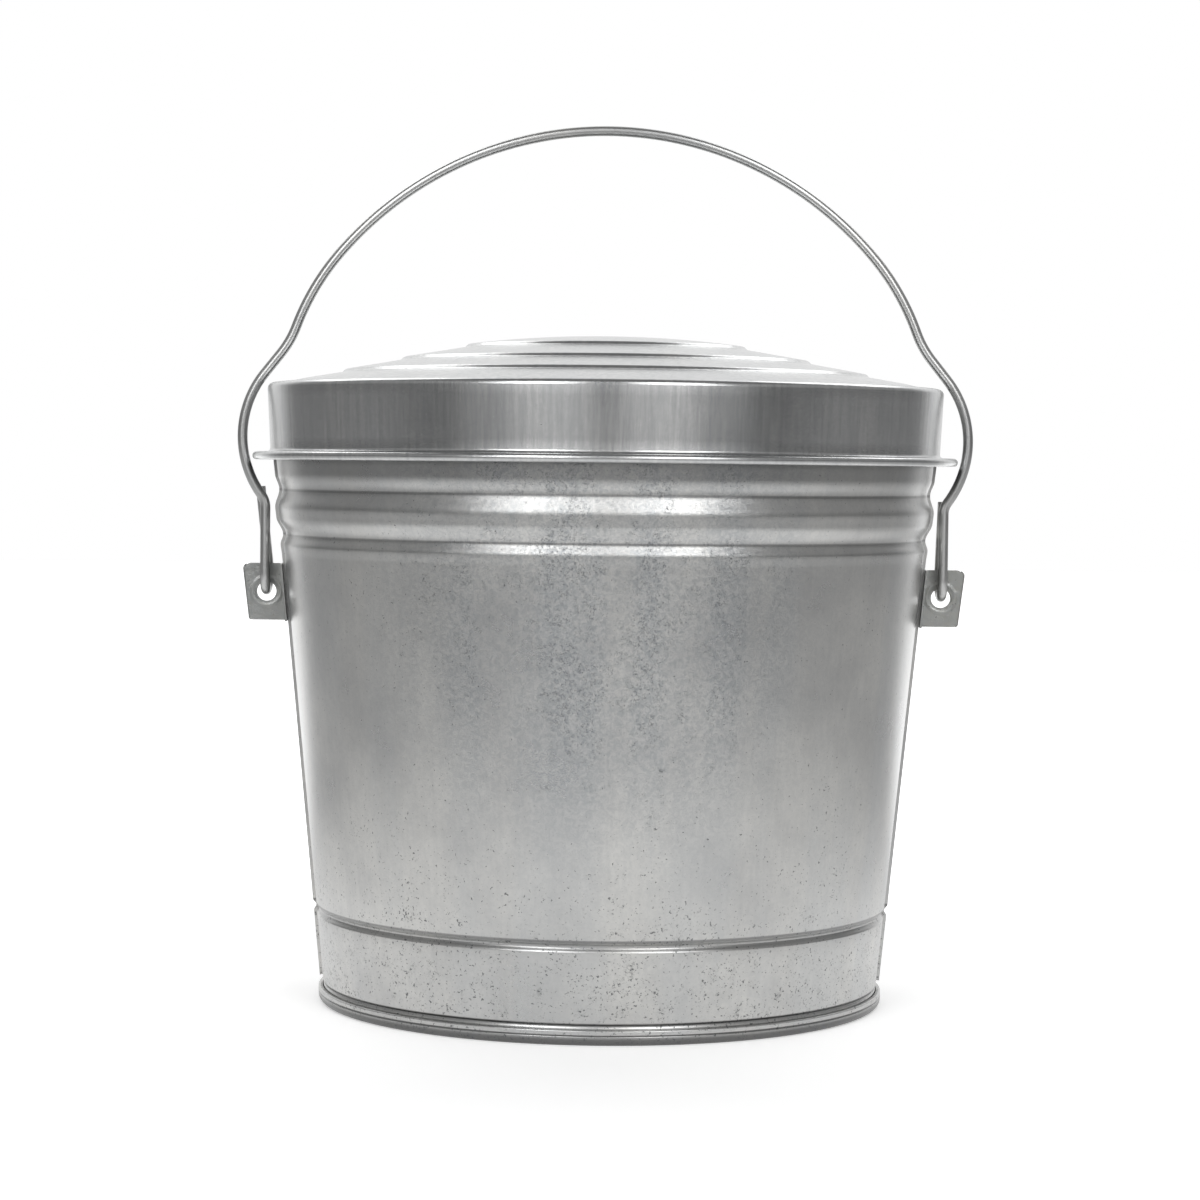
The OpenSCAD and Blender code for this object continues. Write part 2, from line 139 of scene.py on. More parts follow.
# Lid's steps, the dome's edge and the crease, as distance out and height above the lid's corner.
# The crease is counted from its own distance out.
DOME_STEPS = ((70, 18.7), (102, 11.9), (131, 5.4))
DOME_EDGE = ((141, 3.95), (151, 2.2), (159.6, 0.35), (161.6, -0.08))
CREASE = ((-0.6, -0.24), (0, -0.25), (0.6, -0.16), (1.2, -0.03))

# Bail's bends below the crown: radius, angle and steps, or length, 0 and steps.
# A bend the other way has its radius below 0.
CROWN_HALF = 50.0
CROWN_STEPS = 70
BENDS = (
    (123.4, 19.5, 24), (-48.7, 18.15, 12), (12.6, 0, 3),
    (50.2, 74.75, 50), (-10.2, 36.1, 18), (32.6, 0, 4),
)


# Outlines, as (distance from the axis, height)


def line_r(z):
    """The wall's taper, without grooves and beads."""
    return BASE_R + z * tan(TAPER)


def ease(s):
    return (1 - cos(pi * s)) / 2


def flank(z0, d0, z1, d1, n):
    """Smooth flank from one distance out of the taper to another."""
    points = []
    for i in range(1, n + 1):
        z = z0 + (z1 - z0) * i / n
        points.append((line_r(z) + d0 + (d1 - d0) * ease(i / n), z))
    return points


def arc(centre, r, a0, a1, n):
    angles = [radians(a0 + (a1 - a0) * i / n) for i in range(n + 1)]
    return [(centre[0] + r * cos(a), centre[1] + r * sin(a)) for a in angles]


def shifted(points, d):
    return [(r + d, z) for r, z in points]


def wall_outline():
    """Outer line of the wall from just above the chime up to the neck's end."""
    line = [(line_r(SEAM_LOW), SEAM_LOW)]
    for part in WALL_PARTS:
        line += flank(*part)
    for i in range(1, NECK_POINTS + 1):
        s = i / NECK_POINTS
        line.append((line_r(NECK_Z) - NECK_IN * ease(s), NECK_Z + NECK_H * s))
    return line


def mark_outline():
    """Roller mark just above the chime."""
    z, half, depth = CHIME_H + 1.5, 1.3, 0.5
    start = [(line_r(z - half), z - half)]
    return start + flank(z - half, 0, z, -depth, 5) + flank(z, -depth, z + half, 0, 5)


def body_outline():
    """Closed section of a body sheet: foot hook, wall and rim roll."""
    lift = SHEET + CHIME_GAP
    hook_in = 2 * CHIME_GAP + SHEET
    hook_out = hook_in + SHEET
    top = CHIME_H - SHEET - CHIME_GAP
    foot = line_r(lift)
    bend = (foot + hook_out - HOOK_BEND_R, lift + HOOK_BEND_R)
    line = mark_outline() + wall_outline()
    return (
        [(line_r(top) + hook_in, top)]
        + arc(bend, HOOK_BEND_R - SHEET, 0, -90, 5)
        + [(foot, lift + SHEET)]
        + line
        + arc(ROLL_AT, ROLL_R - SHEET, 180, ROLL_END, 26)
        + arc(ROLL_AT, ROLL_R, ROLL_END, 180, 26)
        + shifted(line, -SHEET)[::-1]
        + [(foot - SHEET, lift)]
        + arc(bend, HOOK_BEND_R, -90, 0, 6)
        + [(line_r(top) + hook_out, top)]
    )


def chime_r(z):
    """The taper with the chime's slight bulge."""
    return line_r(z) + CHIME_BULGE * cos(pi * (z - BULGE_Z) / (2 * BULGE_HALF))


def chime_face(out):
    """The chime's outer face going down, with its fine pressed groove."""
    face = []
    for i in range(21):
        z = FACE_TOP_Z - FACE_STEP * i
        pressed = PRESS_DEPTH * (1 - ease(min(1, abs(z - PRESS_Z) / PRESS_HALF)))
        face.append((chime_r(z) + out - pressed, z))
    return face


def pan_outline():
    """Closed section of the bottom pan, from the axis to its tucked hook."""
    lift = SHEET + CHIME_GAP
    pan_in = 3 * CHIME_GAP + 2 * SHEET
    pan_out = pan_in + SHEET
    top = line_r(CHIME_H)
    foot = line_r(SHEET) - lift
    tuck = line_r(TUCK_END_Z) + CHIME_GAP
    turn = (line_r(PAN_Z) - lift - PAN_BEND_R, PAN_Z - PAN_BEND_R)
    corner = (chime_r(CHIME_BEND_R) + pan_out - CHIME_BEND_R, CHIME_BEND_R)
    return (
        [(0, PAN_Z), (PAN_FLAT_R, PAN_Z), (turn[0], PAN_Z)]
        + arc(turn, PAN_BEND_R, 90, 0, 5)
        + [(foot, SHEET + PAN_FOOT_CUT), (foot + PAN_FOOT_CUT, SHEET)]
        + arc(corner, CHIME_BEND_R - SHEET, -90, 0, 8)
        + [(chime_r(z) + pan_in, z) for z in (3, 4, 5, 6)]
        + [(top + pan_in, CHIME_H - SHEET), (top + CHIME_GAP + SHEET, CHIME_H - SHEET)]
        + [(tuck + SHEET, TUCK_END_Z), (tuck, TUCK_END_Z)]
        + arc((top + CHIME_GAP + CHIME_TUCK_R, CHIME_H - CHIME_TUCK_R), CHIME_TUCK_R, 180, 90, 4)
        + arc((top + pan_out - CHIME_TOP_R, CHIME_H - CHIME_TOP_R), CHIME_TOP_R, 90, 0, 6)
        + chime_face(pan_out)
        + arc(corner, CHIME_BEND_R, 0, -90, 12)
        + arc((line_r(0) - lift - SHEET + PAN_FOOT_R, PAN_FOOT_R), PAN_FOOT_R, -90, -180, 5)
        + arc(turn, PAN_BEND_R - SHEET, 0, 90, 5)
        + [(PAN_FLAT_R, PAN_Z - SHEET), (0, PAN_Z - SHEET)]
    )


def dome_outline():
    """Upper line of the lid from the axis to the crease before its corner."""
    crown_r = DOME_STEPS[0][0] - STEP_HALF
    crown_drop = DOME_H - DOME_STEPS[0][1] - STEP_H
    dome = []
    for i in range(19):
        s = i / 18
        dome.append((crown_r * s, DOME_H - crown_drop * s * s))
    for k, (r, foot) in enumerate(DOME_STEPS):
        top = foot + STEP_H
        if k:
            dome.append((r - STEP_HALF, top))
        for i in range(1, 9):
            s = i / 8
            dome.append((r - STEP_HALF + 2 * STEP_HALF * s, top - STEP_H * ease(s)))
        if k < len(DOME_STEPS) - 1:
            next_r, next_foot = DOME_STEPS[k + 1]
            run, drop = next_r - r - 2 * STEP_HALF, foot - next_foot - STEP_H
            for s in (0.25, 0.5, 0.75):
                dome.append((r + STEP_HALF + run * s, foot - drop * s))
    dome += DOME_EDGE
    dome += shifted(CREASE, CREASE_R)
    return [(r, LID_Z + z) for r, z in dome]


def lid_outline():
    """Closed section of the lid: dome with steps, corner, skirt and curl."""
    dome = dome_outline()
    corner = (LID_R - LID_BEND_R, LID_Z - LID_BEND_R)
    bend = (SKIRT_R + FLANGE_BEND_R, FLANGE_Z + FLANGE_BEND_R)
    outer = dome + arc(corner, LID_BEND_R, 90, 0, 14)
    inner = [(r, z - SHEET) for r, z in dome] + arc(corner, LID_BEND_R - SHEET, 90, 0, 14)
    for i in range(1, 6):
        s = i / 6
        r, z = LID_R - SKIRT_LEAN * s, corner[1] + (bend[1] - corner[1]) * s
        outer.append((r, z))
        inner.append((r - SHEET, z))
    outer += arc(bend, FLANGE_BEND_R, 180, 270, 9) + arc(CURL_AT, CURL_R, 90, -180, 30)
    inner += arc(bend, FLANGE_BEND_R + SHEET, 180, 270, 9)
    inner += arc(CURL_AT, CURL_R - SHEET, 90, -180, 30)
    return outer + inner[::-1]


# Mesh helpers


MERGE = 1e-6
SHARP = radians(32)


def section(bm, points, at=0.0):
    """Loop of edges along a closed outline, standing at an angle round the axis."""
    turn = Matrix.Rotation(at, 3, "Z")
    verts = [bm.verts.new(turn @ Vector((r * MM, 0, z * MM))) for r, z in points]
    edges = [bm.edges.new((a, b)) for a, b in zip(verts, verts[1:])]
    return verts, edges + [bm.edges.new((verts[-1], verts[0]))]


def full_turn(bm, points, steps):
    """Turns a closed outline all the way round."""
    verts, edges = section(bm, points)
    bmesh.ops.spin(
        bm, geom=verts + edges, cent=(0, 0, 0), axis=(0, 0, 1),
        angle=2 * pi, steps=steps, use_merge=True,
    )


def edges_of(geom):
    return [g for g in geom if isinstance(g, bmesh.types.BMEdge)]


def part_turn(bm, points, a0, a1, steps):
    """Turns a closed outline through part of a circle and closes both ends."""
    edges = section(bm, points, a0)[1]
    bmesh.ops.contextual_create(bm, geom=edges)
    made = bmesh.ops.spin(
        bm, geom=edges, cent=(0, 0, 0), axis=(0, 0, 1), angle=a1 - a0, steps=steps
    )
    bmesh.ops.contextual_create(bm, geom=edges_of(made["geom_last"]))


def made_piece(bm, name, body, finish, stands_for):
    """Closes, smooths and names a finished piece, and hands it to its body."""
    bmesh.ops.remove_doubles(bm, verts=bm.verts, dist=MERGE)
    bmesh.ops.recalc_face_normals(bm, faces=bm.faces)
    for face in bm.faces:
        face.smooth = True
    for edge in bm.edges:
        edge.smooth = not (edge.is_manifold and edge.calc_face_angle(0) > SHARP)
    mesh = bpy.data.meshes.new(name)
    bm.to_mesh(mesh)
    bm.free()
    piece = bpy.data.objects.new(name, mesh)
    bpy.context.collection.objects.link(piece)
    mesh.materials.append(finish)
    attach(piece, body)
    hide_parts(*stands_for)
    return piece


# Shader helpers


def new_group(name, inputs, outputs):
    """Empty node group with number sockets, and its two end nodes."""
    tree = bpy.data.node_groups.new(name, "ShaderNodeTree")
    for label, value in inputs:
        s = tree.interface.new_socket(label, in_out="INPUT", socket_type="NodeSocketFloat")
        s.default_value = value
    for label in outputs:
        tree.interface.new_socket(label, in_out="OUTPUT", socket_type="NodeSocketFloat")
    return tree, tree.nodes.new("NodeGroupInput"), tree.nodes.new("NodeGroupOutput")


def feed(tree, socket, value):
    """Links another node's output to a socket, or sets the socket's own value."""
    if isinstance(value, bpy.types.NodeSocket):
        tree.links.new(value, socket)
    else:
        socket.default_value = value


def math_node(tree, op, a, b=None, c=None, clamp=False):
    node = tree.nodes.new("ShaderNodeMath")
    node.operation = op
    node.use_clamp = clamp
    for socket, value in zip(node.inputs, (a, b, c)):
        if value is not None:
            feed(tree, socket, value)
    return node.outputs[0]


def vector_node(tree, op, a, b=None):
    """Vector maths on a, with b as the second vector or as the factor of SCALE."""
    node = tree.nodes.new("ShaderNodeVectorMath")
    node.operation = op
    feed(tree, node.inputs[0], a)
    if b is not None:
        feed(tree, node.inputs["Scale" if op == "SCALE" else 1], b)
    return node.outputs["Value" if op == "LENGTH" else "Vector"]


def ramp(tree, value, low, high):
    """0 below low and 1 above high, smooth between."""
    node = tree.nodes.new("ShaderNodeMapRange")
    node.interpolation_type = "SMOOTHSTEP"
    feed(tree, node.inputs["Value"], value)
    feed(tree, node.inputs["From Min"], low)
    feed(tree, node.inputs["From Max"], high)
    return node.outputs["Result"]


def fade(tree, value, low, high):
    """1 below low and 0 above high, smooth between."""
    return math_node(tree, "SUBTRACT", 1.0, ramp(tree, value, low, high))


def highest(tree, a, b):
    """The higher of two masks, or the second where there is no first yet."""
    return b if a is None else math_node(tree, "MAXIMUM", a, b)


def noise(tree, vector, scale, detail=4.0, rough=0.55, distortion=0.0):
    node = tree.nodes.new("ShaderNodeTexNoise")
    feed(tree, node.inputs["Vector"], vector)
    feed(tree, node.inputs["Scale"], scale)
    feed(tree, node.inputs["Detail"], detail)
    feed(tree, node.inputs["Roughness"], rough)
    feed(tree, node.inputs["Distortion"], distortion)
    return node.outputs[0]


def blend_colour(tree, factor, low, high):
    """Colour from low at factor 0 to high at factor 1."""
    node = tree.nodes.new("ShaderNodeMix")
    node.data_type = "RGBA"
    feed(tree, node.inputs["Factor"], factor)
    for socket, value in ((node.inputs[6], low), (node.inputs[7], high)):
        feed(tree, socket, (*value, 1) if isinstance(value, tuple) else value)
    return node.outputs[2]


def axes_of(tree, vector):
    """The vector's x, y and z."""
    node = tree.nodes.new("ShaderNodeSeparateXYZ")
    feed(tree, node.inputs[0], vector)
    return tuple(node.outputs)


def object_coords(tree):
    return tree.nodes.new("ShaderNodeTexCoord").outputs["Object"]


# Finishes, with lengths in metres


def zinc_speckle():
    """Fine dark dots and broken crackle of hot dip zinc, gathered in loose clouds."""
    tree, given, out = new_group(
        "zinc_speckle",
        [("Dots", 0.5), ("Crackle", 0.5), ("Size", 1.0)],
        ["Specks", "Crackle", "Clouds", "Grain", "Mottle"],
    )
    coords = vector_node(tree, "SCALE", object_coords(tree), given.outputs["Size"])
    cloud = noise(tree, coords, 17.0, detail=5.0, rough=0.62)
    patch = noise(tree, coords, 120.0, rough=0.6)

    # Dots show where the fine noise passes a level that loose clouds lower
    fine = noise(tree, coords, 780.0, detail=2.0, rough=0.6, distortion=0.5)
    loose = math_node(tree, "MULTIPLY_ADD", cloud, 0.16, math_node(tree, "MULTIPLY", patch, 0.2))
    level = math_node(tree, "MULTIPLY_ADD", given.outputs["Dots"], -0.16, 0.93)
    level = math_node(tree, "SUBTRACT", level, loose)
    dots = ramp(tree, fine, level, math_node(tree, "ADD", level, 0.07))

    # Crackle lines run where a noise crosses its middle, broken up and only in patches
    worm = noise(tree, coords, 440.0, rough=0.7, distortion=1.0)
    worm = math_node(tree, "ABSOLUTE", math_node(tree, "SUBTRACT", worm, 0.5))
    line = fade(tree, worm, 0.008, 0.05)
    broken = ramp(tree, noise(tree, coords, 620.0, detail=2.0, rough=0.5), 0.4, 0.6)
    reach = math_node(tree, "MULTIPLY_ADD", given.outputs["Crackle"], -0.4, 0.78)
    here = math_node(tree, "MULTIPLY_ADD", cloud, 0.3, math_node(tree, "MULTIPLY", patch, 0.7))
    here = ramp(tree, here, reach, math_node(tree, "ADD", reach, 0.2))
    crackle = math_node(tree, "MULTIPLY", math_node(tree, "MULTIPLY", line, broken), here)

    mottle = noise(tree, coords, 400.0, detail=6.0, rough=0.78, distortion=1.0)
    grain = noise(tree, coords, 1900.0, detail=2.0, rough=0.5)
    feed(tree, out.inputs["Specks"], dots)
    feed(tree, out.inputs["Crackle"], crackle)
    feed(tree, out.inputs["Clouds"], cloud)
    feed(tree, out.inputs["Grain"], grain)
    feed(tree, out.inputs["Mottle"], fade(tree, mottle, 0.36, 0.64))
    return tree


def rolled_streaks():
    """Upright hairlines and bands of wiping, and faint level ripples of rolling."""
    tree, given, out = new_group(
        "rolled_streaks", [("Line Size", 420.0)], ["Lines", "Bands", "Ripples"]
    )
    coords = object_coords(tree)
    upright = vector_node(tree, "MULTIPLY", coords, (1, 1, 0.025))
    level = vector_node(tree, "MULTIPLY", coords, (0.12, 0.12, 1))
    feed(tree, out.inputs["Lines"], noise(tree, upright, given.outputs["Line Size"], rough=0.65))
    feed(tree, out.inputs["Bands"], noise(tree, upright, 38.0, detail=3.0, rough=0.5))
    feed(tree, out.inputs["Ripples"], noise(tree, level, 300.0, detail=2.0, rough=0.5))
    return tree


def blotch(tree, places):
    """Mask of soft oval blotches, as (centre, half sizes)."""
    coords = object_coords(tree)
    total = None
    for centre, half in places:
        away = vector_node(tree, "SUBTRACT", coords, centre)
        away = vector_node(tree, "MULTIPLY", away, tuple(1 / h for h in half))
        total = highest(tree, total, fade(tree, vector_node(tree, "LENGTH", away), 0.25, 1.2))
    return total


def ring_mask(tree, rings):
    """Mask of level rings of painted shade, as (height, half width, strength)."""
    height = axes_of(tree, object_coords(tree))[2]
    total = None
    for at, half, strength in rings:
        away = math_node(tree, "ABSOLUTE", math_node(tree, "SUBTRACT", height, at))
        soft = fade(tree, away, half * 0.5, half * 1.5)
        total = highest(tree, total, math_node(tree, "MULTIPLY", soft, strength))
    return total


EAR_RING_R = 0.0072
EAR_RING_HALF = 0.0016
EAR_TAB_Y = (0.0012, 0.002)
EAR_SHADE_X = (0.1592, 0.1604)


def ear_press(tree):
    """Raised ring round each ear's hole, and the shade where its tab meets the wall."""
    x, y, z = axes_of(tree, object_coords(tree))
    out = math_node(tree, "ABSOLUTE", x)
    side = math_node(tree, "SUBTRACT", out, HOLE[0] * MM)
    up = math_node(tree, "SUBTRACT", z, HOLE[1] * MM)
    far = math_node(tree, "MULTIPLY_ADD", side, side, math_node(tree, "MULTIPLY", up, up))
    far = math_node(tree, "SUBTRACT", math_node(tree, "SQRT", far), EAR_RING_R)
    ring = fade(tree, math_node(tree, "ABSOLUTE", far), 0.0, EAR_RING_HALF)
    tab = fade(tree, math_node(tree, "ABSOLUTE", y), *EAR_TAB_Y)
    return ring, math_node(tree, "MULTIPLY", fade(tree, out, *EAR_SHADE_X), tab)


SPECKLE = zinc_speckle()
STREAKS = rolled_streaks()

COOL_TINT = (0.5, 0.515, 0.525)
MOTTLE_TINT = (0.3, 0.32, 0.34)
RING_SHADE = (0.1, 0.1, 0.1)
EAR_SHADE = (0.02, 0.02, 0.02)

FOOT_HEIGHTS = (0.02, 0.12)
FOOT_WEAR = 0.45
RELIEF_DEPTH = 0.0002


def zinc_finish(name, light, dark, speck, *, dots, crackle, rough, spread, lines, bump,
                size=1.0, mottle=0.15, places=(), rings=(), ear=False):
    """Zinc-coated metal: specks, clouds and hairlines in colour, gloss and relief, with painted shade in
    rings and at the ear's tab.
    """
    finish = bpy.data.materials.new(name)
    finish.use_nodes = True
    tree = finish.node_tree
    shader = tree.nodes["Principled BSDF"]
    shader.inputs["Metallic"].default_value = 1.0
    specks = tree.nodes.new("ShaderNodeGroup")
    specks.node_tree = SPECKLE
    feed(tree, specks.inputs["Dots"], dots)
    feed(tree, specks.inputs["Crackle"], crackle)
    feed(tree, specks.inputs["Size"], size)
    hair = tree.nodes.new("ShaderNodeGroup")
    hair.node_tree = STREAKS

    # Light and dark of the zinc, worn near the foot and blotched where places say so
    cloud = ramp(tree, specks.outputs["Clouds"], 0.3, 0.7)
    streak = ramp(tree, hair.outputs["Lines"], 0.25, 0.75)
    cloud = math_node(tree, "MULTIPLY", cloud, 1 - lines)
    tone = math_node(tree, "MULTIPLY_ADD", streak, lines, cloud)
    cool = ramp(tree, hair.outputs["Bands"], 0.38, 0.62)
    if places:
        column = math_node(tree, "MULTIPLY_ADD", cool, 0.45, 0.55)
        spot = math_node(tree, "MULTIPLY", blotch(tree, places), column)
        height = axes_of(tree, object_coords(tree))[2]
        worn = math_node(tree, "MULTIPLY", fade(tree, height, *FOOT_HEIGHTS), FOOT_WEAR)
        broken = math_node(tree, "MAXIMUM", spot, worn)
        feed(tree, specks.inputs["Dots"], math_node(tree, "ADD", worn, dots))
        feed(tree, specks.inputs["Crackle"], math_node(tree, "MULTIPLY_ADD", broken, 0.8, crackle))
        mottle = math_node(tree, "MULTIPLY_ADD", spot, 0.65, mottle)
        # Darker in the blotches: random tone over the wall, and painted shade under the lid
        tone = math_node(tree, "MULTIPLY_ADD", spot, -0.1, tone, clamp=True)
    mottled = math_node(tree, "MULTIPLY", specks.outputs["Mottle"], mottle)
    colour = blend_colour(tree, tone, dark, light)
    colour = blend_colour(tree, math_node(tree, "MULTIPLY", cool, 0.3), colour, COOL_TINT)
    colour = blend_colour(tree, mottled, colour, MOTTLE_TINT)

    # Painted shade where the ear's tab meets the wall and in rings at grooves and folds, and the specks
    # over all
    if ear:
        pressed, shade = ear_press(tree)
        # Painted shade, nearly black, where the ear's tab meets the wall
        colour = blend_colour(tree, shade, colour, EAR_SHADE)
    # Painted shade in level rings under the lid, in the grooves and round the chime and foot
    if rings:
        colour = blend_colour(tree, ring_mask(tree, rings), colour, RING_SHADE)
    marks = math_node(tree, "MULTIPLY", specks.outputs["Crackle"], 0.9)
    marks = math_node(tree, "MAXIMUM", specks.outputs["Specks"], marks)
    colour = blend_colour(tree, math_node(tree, "MULTIPLY", marks, 0.8), colour, speck)
    feed(tree, shader.inputs["Base Color"], colour)

    gloss = math_node(tree, "MULTIPLY_ADD", specks.outputs["Clouds"], spread, rough - spread / 2)
    feed(tree, shader.inputs["Roughness"], math_node(tree, "MULTIPLY_ADD", marks, 0.15, gloss))

    # Relief, as each part's share of the depth
    parts = [
        (specks.outputs["Grain"], 0.3),
        (mottled, 1.5),
        (hair.outputs["Lines"], 0.5 * lines),
        (hair.outputs["Ripples"], 0.5 * (1 - lines)),
    ]
    if ear:
        parts.append((pressed, 3.0))
    raised = math_node(tree, "MULTIPLY", marks, -0.4)
    for part, share in parts:
        raised = math_node(tree, "MULTIPLY_ADD", part, share, raised)
    relief = tree.nodes.new("ShaderNodeBump")
    relief.inputs["Strength"].default_value = bump
    relief.inputs["Distance"].default_value = RELIEF_DEPTH
    feed(tree, relief.inputs["Height"], raised)
    feed(tree, shader.inputs["Normal"], relief.outputs[0])
    return finish


# Crackle and darker mottle in front of the pail: the lower blotch over the wall, and the upper under the
# lid, whose darkening is also painted shade
BODY_BLOTCHES = (
    ((-0.002, -0.15, 0.195), (0.115, 0.1, 0.115)),
    ((0.0, -0.15, 0.265), (0.11, 0.1, 0.025)),
)

# Painted shade under the lid, at the upper grooves, at the lower groove, over the chime and on it
BODY_SHADE_RINGS = (
    (0.266, 0.006, 0.42),
    (0.2543, 0.0006, 0.4),
    (0.2322, 0.0005, 0.4),
    (0.0485, 0.0007, 0.65),
    (0.0462, 0.0022, 0.28),
    (0.0094, 0.0008, 0.7),
    (0.0048, 0.0004, 0.8),
    (0.0012, 0.0028, 0.85),
)

BODY_ZINC = zinc_finish(
    "body_zinc", (0.64, 0.635, 0.615), (0.475, 0.475, 0.47), (0.1, 0.105, 0.11),
    dots=0.42, crackle=0.35, rough=0.29, spread=0.12, lines=0.2, bump=0.25,
    places=BODY_BLOTCHES, rings=BODY_SHADE_RINGS,
)
LID_ZINC = zinc_finish(
    "lid_zinc", (0.68, 0.68, 0.67), (0.47, 0.475, 0.48), (0.2, 0.21, 0.2),
    dots=0.1, crackle=0.1, rough=0.24, spread=0.08, lines=0.7, bump=0.15,
)
EAR_ZINC = zinc_finish(
    "ear_zinc", (0.37, 0.37, 0.35), (0.24, 0.24, 0.225), (0.12, 0.125, 0.12),
    dots=0.4, crackle=0.6, rough=0.34, spread=0.14, lines=0.1, bump=0.5,
    size=0.8, mottle=0.35, ear=True,
)
WIRE_ZINC = zinc_finish(
    "wire_zinc", (0.56, 0.56, 0.55), (0.48, 0.48, 0.475), (0.16, 0.17, 0.16),
    dots=0.0, crackle=0.0, rough=0.3, spread=0.04, lines=0.0, bump=0.02, mottle=0.0,
)


# Pail


def lay(k, share):
    """Distance of a folded layer out from the wall's line: 0 is its inner face."""
    return k * LAYER - SHEET * (1 - share)


def seam_layer(bm, line, d0, d1, a0, a1, turn, steps=6):
    """One layer of a lock seam, between two distances out and two angles."""
    outline = shifted(line, d1) + shifted(line, d0)[::-1]
    part_turn(bm, outline, turn + a0, turn + a1, steps)


def body_half(name, node, turn):
    """One body sheet with its folded lock seams."""
    bm = bmesh.new()
    half = FOLD_A / 2
    step = SEAM_A + SLIT_A + FOLD_A
    first, last = pi + SEAM_A + SLIT_A + half, 2 * pi + SEAM_A - half
    part_turn(bm, body_outline(), turn + first, turn + last, 130)

    # Layers are as high as the seam, and the folds that join them a little shorter
    wall = wall_outline() + [(NECK_R, SEAM_HIGH)]
    fold_low, fold_high = SEAM_LOW + FOLD_SHORT, SEAM_HIGH - FOLD_SHORT
    fold = [(line_r(fold_low), fold_low)] + wall[1:-1] + [(NECK_R, fold_high)]

    # Seam where the sheet ends
    seam_layer(bm, fold, lay(0, 0.5), lay(2, 0.5), SEAM_A - FOLD_A, SEAM_A, turn, 2)
    seam_layer(bm, wall, lay(2, 0), lay(2, 1), FOLD_A + SLIT_A - SEAM_A, SEAM_A - half, turn)

    # Seam where it begins
    seam_layer(bm, fold, lay(0, 0.5), lay(3, 0.5), pi + SEAM_A + SLIT_A, pi + step, turn, 2)
    seam_layer(bm, wall, lay(3, 0), lay(3, 1), pi - SEAM_A + half, pi + step - half, turn)
    seam_layer(bm, fold, lay(1, 0.5), lay(3, 0.5), pi - SEAM_A, pi - SEAM_A + FOLD_A, turn, 2)
    seam_layer(bm, wall, lay(1, 0), lay(1, 1), pi - SEAM_A + half, pi + SEAM_A - FOLD_A - SLIT_A, turn)
    made_piece(bm, name, "pail", BODY_ZINC, [node])


body_half("front_sheet", "body_front", 0)
body_half("rear_sheet", "body_back", pi)

bm = bmesh.new()
full_turn(bm, pan_outline(), 240)
made_piece(bm, "bottom_seam", "pail", BODY_ZINC, ["bottom_pan"])

# The rim wire lies hidden in the rim's roll and keeps its solid's shape
rim_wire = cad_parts["rim_wire"].data
rim_wire.materials.clear()
rim_wire.materials.append(WIRE_ZINC)


# Ears


def ear_piece(name, node):
    """The folded ear, from its solid, with its edges eased."""
    bm = bmesh.new()
    bm.from_mesh(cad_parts[node].data)
    bmesh.ops.remove_doubles(bm, verts=bm.verts, dist=MERGE)
    bmesh.ops.dissolve_limit(bm, angle_limit=radians(0.5), verts=bm.verts, edges=bm.edges)
    piece = made_piece(bm, name, "pail", EAR_ZINC, [node])
    eased = piece.modifiers.new("eased_edges", "BEVEL")
    eased.width = EAR_EASE * MM
    eased.segments = 2
    eased.limit_method = "ANGLE"
    eased.angle_limit = radians(40)


ear_piece("right_ear", "ear_right")
ear_piece("left_ear", "ear_left")


# Lid

bm = bmesh.new()
full_turn(bm, lid_outline(), 256)
made_piece(bm, "pressed_lid", "lid", LID_ZINC, ["lid"])


# Bail


def signed_turn(r, angle):
    """Change of heading through a bend."""
    return radians(angle) * (1 if r > 0 else -1)


def bend_travel():
    """Sideways and downward travel of the bends below the crown."""
    x, z, heading = 0.0, 0.0, radians(CROWN_HALF)
    for r, angle, _ in BENDS:
        if angle:
            turn = signed_turn(r, angle)
            x += r * (sin(heading + turn) - sin(heading))
            z += r * (cos(heading) - cos(heading + turn))
            heading += turn
        else:
            x += r * cos(heading)
            z += r * sin(heading)
    return x, z


def bend_wire(bm, ring, centre, axis, angle, steps):
    """Carries the wire's open end round an axis."""
    made = bmesh.ops.spin(
        bm, geom=ring, cent=[c * MM for c in centre], axis=axis, angle=angle, steps=steps
    )
    return edges_of(made["geom_last"])


def push_wire(bm, ring, along, steps):
    """Carries the wire's open end straight on."""
    for _ in range(steps):
        ring = edges_of(bmesh.ops.extrude_edge_only(bm, edges=ring)["geom"])
        verts = {v for e in ring for v in e.verts}
        bmesh.ops.translate(bm, verts=list(verts), vec=along * (MM / steps))
        ring = [e for e in ring if all(v in verts for v in e.verts)]
    return ring


